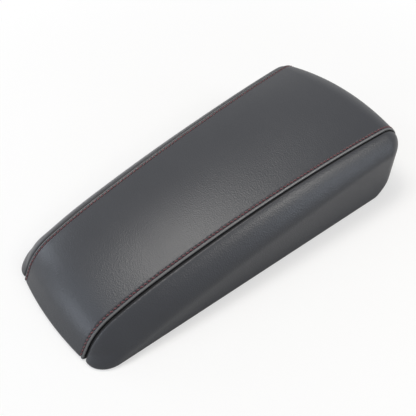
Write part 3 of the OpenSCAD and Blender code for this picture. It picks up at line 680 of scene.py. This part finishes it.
def calc(tree, operation, *values):
    """A Math node; values are sockets or numbers."""
    node = tree.nodes.new("ShaderNodeMath")
    node.operation = operation
    for socket, value in zip(node.inputs, values):
        if isinstance(value, (int, float)):
            socket.default_value = value
        else:
            tree.links.new(value, socket)
    return node.outputs[0]


# The needle holes' mask gives their relief and their painted shade
def needle_holes(tree):
    """1 at each needle hole: on the stitch row, and near where two stitches meet."""
    away = calc(tree, "PINGPONG", mark(tree, "stitch_count"), 0.5)
    end = spread(tree, away, *HOLE_REACH, 1.0, 0.0)
    return calc(tree, "MULTIPLY", end, mark(tree, "stitch_row"))


def leather(name, color, light):
    """Fine grained leather: small pebbles, pores, and slight changes of tone and of gloss. The folded edge
    has a painted highlight line and is a little smoother; the groove and the needle holes have painted shade."""
    mat, tree, shader = node_material(name, color, 0.5)
    where = place(tree)
    pebble = add(tree, "ShaderNodeTexVoronoi", Scale=PEBBLES[0], Randomness=1.0)
    pebble.feature = "F1"
    pores = add(tree, "ShaderNodeTexNoise", Scale=PORES[0], Detail=3.0)
    soft = add(tree, "ShaderNodeTexNoise", Scale=TONE_SCALE, Detail=2.0)
    broad = add(tree, "ShaderNodeTexNoise", Scale=GLOSS_SCALE, Detail=1.0)
    for node in (pebble, pores, soft, broad):
        tree.links.new(where, node.inputs["Vector"])
    holes, fold, groove = needle_holes(tree), mark(tree, "fold"), mark(tree, "groove")
    hide = tint(tree, soft.outputs["Fac"], color, light)
    # Painted highlight: a lighter line added to the colour along the folded edge
    highlighted = tint(tree, 1.0, hide, tint(tree, fold, (0, 0, 0), FOLD_HIGHLIGHT_PAINT), "ADD")
    # Painted shade: the groove, the leather under the folded edge and the needle holes turn nearly black
    shown = tint(tree, calc(tree, "MAXIMUM", holes, groove), highlighted, PAINTED_SHADE_COLOUR)
    tree.links.new(shown, shader.inputs["Base Color"])
    gloss = spread(tree, broad.outputs["Fac"], NOISE_LOW, NOISE_HIGH, *GLOSS)
    smoother = calc(tree, "SUBTRACT", gloss, calc(tree, "MULTIPLY", fold, FOLD_SMOOTHER))
    rougher = calc(tree, "MULTIPLY", groove, GROOVE_ROUGHER)
    tree.links.new(calc(tree, "ADD", smoother, rougher), shader.inputs["Roughness"])
    first = bump(tree, shader, pebble.outputs["Distance"], *PEBBLES[1:])
    second = bump(tree, shader, pores.outputs["Fac"], *PORES[1:], first)
    bump(tree, shader, calc(tree, "MULTIPLY", holes, -1.0), HOLE_DEPTH, 1.0, second)
    return mat


def thread(name, color, light):
    """Sewing thread: fine fibre in its tone and relief, and a little sheen."""
    mat, tree, shader = node_material(name, color, 0.6)
    fibre = add(tree, "ShaderNodeTexNoise", Scale=FIBRE_SCALE, Detail=2.0)
    tree.links.new(place(tree), fibre.inputs["Vector"])
    tree.links.new(tint(tree, fibre.outputs["Fac"], color, light), shader.inputs["Base Color"])
    bump(tree, shader, fibre.outputs["Fac"], FIBRE_DEPTH, RELIEF)
    shader.inputs["Sheen Weight"].default_value = SHEEN
    return mat


def moulded(name, color, light, roughness, grain=900.0, depth=0.00008, metal=0.0, stretched=(1, 1, 1)):
    """Moulded, rubber or pressed surface: grain of one size, with a slight change of tone.
    stretched scales the pattern along the axes, so a small number draws it out into brush lines."""
    mat, tree, shader = node_material(name, color, roughness)
    turn = add(tree, "ShaderNodeMapping", Scale=stretched)
    tree.links.new(place(tree), turn.inputs["Vector"])
    speck = add(tree, "ShaderNodeTexNoise", Scale=grain, Detail=3.0)
    cloud = add(tree, "ShaderNodeTexNoise", Scale=CLOUD_SCALE, Detail=2.0)
    for node in (speck, cloud):
        tree.links.new(turn.outputs["Vector"], node.inputs["Vector"])
    tree.links.new(tint(tree, cloud.outputs["Fac"], color, light), shader.inputs["Base Color"])
    ends = roughness - ROUGH_CHANGE, roughness + ROUGH_CHANGE
    rough = spread(tree, speck.outputs["Fac"], NOISE_LOW, NOISE_HIGH, *ends)
    tree.links.new(rough, shader.inputs["Roughness"])
    shader.inputs["Metallic"].default_value = metal
    bump(tree, shader, speck.outputs["Fac"], depth, RELIEF)
    return mat


def dress(materials):
    """Each CAD node that stays shows the material of its record slot."""
    slots = {s["node"]: s["material_slot"] for s in frame["record"]["subparts"]}
    for name, obj in frame["nodes"].items():
        obj.data.materials.clear()
        obj.data.materials.append(materials[slots[name]])


# Camera, lights and floor


def direction(azimuth, elevation):
    """Unit vector to an azimuth and elevation; azimuth 0 is in front of the nose, 90 at the right side."""
    flat = deg_cos(elevation)
    return np.array([deg_sin(azimuth) * flat, -deg_cos(azimuth) * flat, deg_sin(elevation)])


def facing(right, up, back, at):
    """Matrix of a camera or lamp that looks against back from the place at."""
    return Matrix([[right[k], up[k], back[k], at[k]] for k in range(3)] + [[0, 0, 0, 1]])


def camera():
    """The photograph's camera: it looks down at the near side from the front right."""
    azimuth, elevation, roll, distance = 54.61, 47.39, -3.8, 512.45
    centre = np.array([0, -9.77, 27.67])
    shift_right, shift_up = 5.21, -4.56
    pixels, focal, film = 416, 600, 36
    back = direction(azimuth, elevation)
    right = np.cross(-back, [0, 0, 1])
    right /= np.linalg.norm(right)
    up = np.cross(right, -back)
    right, up = deg_cos(roll) * right + deg_sin(roll) * up, deg_cos(roll) * up - deg_sin(roll) * right
    at = (centre + shift_right * right + shift_up * up + distance * back) * MM
    data = bpy.data.cameras.new("camera")
    data.sensor_fit = "HORIZONTAL"
    data.sensor_width = film
    data.lens = film * focal / pixels
    data.clip_start = 0.01
    cam = put_in("camera", data)
    cam.matrix_world = facing(right, up, back, at)
    bpy.context.scene.camera = cam


def studio_light(name, azimuth, elevation, power, color):
    """A square soft light at LIGHT_FAR from the armrest, turned to it."""
    data = bpy.data.lights.new(name, "AREA")
    data.shape = "RECTANGLE"
    data.size = data.size_y = LIGHT_SIZE
    data.energy = power
    data.color = color
    at = LIGHT_FAR * direction(azimuth, elevation) + [0, 0, LIGHT_UP]
    back = at - np.array([0, 0, LIGHT_TO])
    back /= np.linalg.norm(back)
    side = np.cross([0, 0, 1], back)
    side /= np.linalg.norm(side)
    put_in(name, data).matrix_world = facing(side, np.cross(back, side), back, at)


def floor():
    """Pale floor that the camera sees as white, with the armrest's own soft shadow."""
    mesh = bpy.data.meshes.new("floor")
    w = FLOOR_HALF
    mesh.from_pydata([(-w, -w, 0), (w, -w, 0), (w, w, 0), (-w, w, 0)], [], [(0, 1, 2, 3)])
    mat, tree, shader = node_material("floor_white", (FLOOR_TONE,) * 3, 0.9, 0.0)
    radius = tree.nodes.new("ShaderNodeVectorMath")
    radius.operation = "LENGTH"
    tree.links.new(place(tree), radius.inputs[0])
    away = spread(tree, radius.outputs["Value"], *PAPER_RADII, PAPER_SHARE, 1.0)
    path = tree.nodes.new("ShaderNodeLightPath")
    paper = tree.nodes.new("ShaderNodeEmission")
    mixed = tree.nodes.new("ShaderNodeMixShader")
    tree.links.new(calc(tree, "MULTIPLY", away, path.outputs["Is Camera Ray"]), mixed.inputs["Fac"])
    tree.links.new(shader.outputs["BSDF"], mixed.inputs[1])
    tree.links.new(paper.outputs["Emission"], mixed.inputs[2])
    tree.links.new(mixed.outputs["Shader"], tree.nodes["Material Output"].inputs["Surface"])
    mesh.materials.append(mat)
    put_in("floor", mesh)


def world():
    """Soft white surround: as bright as white paper to the camera and in gloss, dimmer as a light."""
    surround = bpy.data.worlds.new("world")
    bpy.context.scene.world = surround
    surround.use_nodes = True
    tree = surround.node_tree
    back = tree.nodes["Background"]
    back.inputs["Color"].default_value = (1, 1, 1, 1)
    path = tree.nodes.new("ShaderNodeLightPath")
    seen = path.outputs["Is Camera Ray"]
    for ray in ("Is Glossy Ray", "Is Transmission Ray"):
        seen = calc(tree, "MAXIMUM", seen, path.outputs[ray])
    tree.links.new(spread(tree, seen, 0, 1, SURROUND, 1), back.inputs["Strength"])


camera()
world()
floor()
for light in STUDIO:
    studio_light(*light)

cover = leather("cover_leather", (0.0145, 0.0165, 0.022), (0.0185, 0.0205, 0.0265))
side_rows = side_profile(SIDE_STEP)
covers = (
    (centre_panel(side_profile(CENTRE_STEP)), "centre_panel"),
    (side_panel(side_rows, "leather_left", -1), "left_side_panel"),
    (side_panel(side_rows, "leather_right", 1), "right_side_panel"),
)
for piece, node in covers:
    piece.data.materials.append(cover)
    give_thickness(piece)
    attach(piece, "lid")
    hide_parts(node)

red = thread("seam_thread", (0.085, 0.022, 0.027), (0.16, 0.045, 0.053))
for name, sign in (("stitches_left", -1), ("stitches_right", 1)):
    row = stitches(side_profile(STITCH_STEP), name, sign)
    row.data.materials.append(red)
    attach(row, "lid")

# Finish of each other slot: darkest and lightest tone, roughness, then scale and depth of the grain, metal,
# and scale along each axis
FINISHES = {
    "pad_foam": ((0.5, 0.47, 0.38), (0.56, 0.53, 0.43), 0.9, 700.0, 0.0004),
    "carrier_plastic": ((0.045, 0.045, 0.05), (0.055, 0.055, 0.06), 0.55),
    "liner_plastic": ((0.028, 0.028, 0.031), (0.036, 0.036, 0.04), 0.6, 1400.0, 0.00012),
    "paddle_plastic": ((0.028, 0.028, 0.031), (0.034, 0.034, 0.038), 0.35, 1400.0, 0.00004),
    "buffer_rubber": ((0.015, 0.015, 0.015), (0.022, 0.022, 0.022), 0.8),
    "washer_plastic": ((0.7, 0.68, 0.62), (0.76, 0.74, 0.68), 0.5),
    "hinge_steel": ((0.46, 0.46, 0.45), (0.56, 0.56, 0.56), 0.38, 500.0, 0.00003, 1.0, (1, 0.08, 1)),
    "pin_steel": ((0.56, 0.56, 0.56), (0.64, 0.64, 0.64), 0.28, 900.0, 0.00002, 1.0, (0.1, 1, 1)),
    "blackened_steel": ((0.035, 0.035, 0.035), (0.05, 0.05, 0.05), 0.42, 900.0, 0.00003, 0.6),
}
dress({"cover_leather": cover, **{slot: moulded(slot, *finish) for slot, finish in FINISHES.items()}})

bpy.context.scene.view_settings.view_transform = "Standard"


def plain(box):
    """A box as plain lists of numbers."""
    return [[float(v) for v in corner] for corner in box]
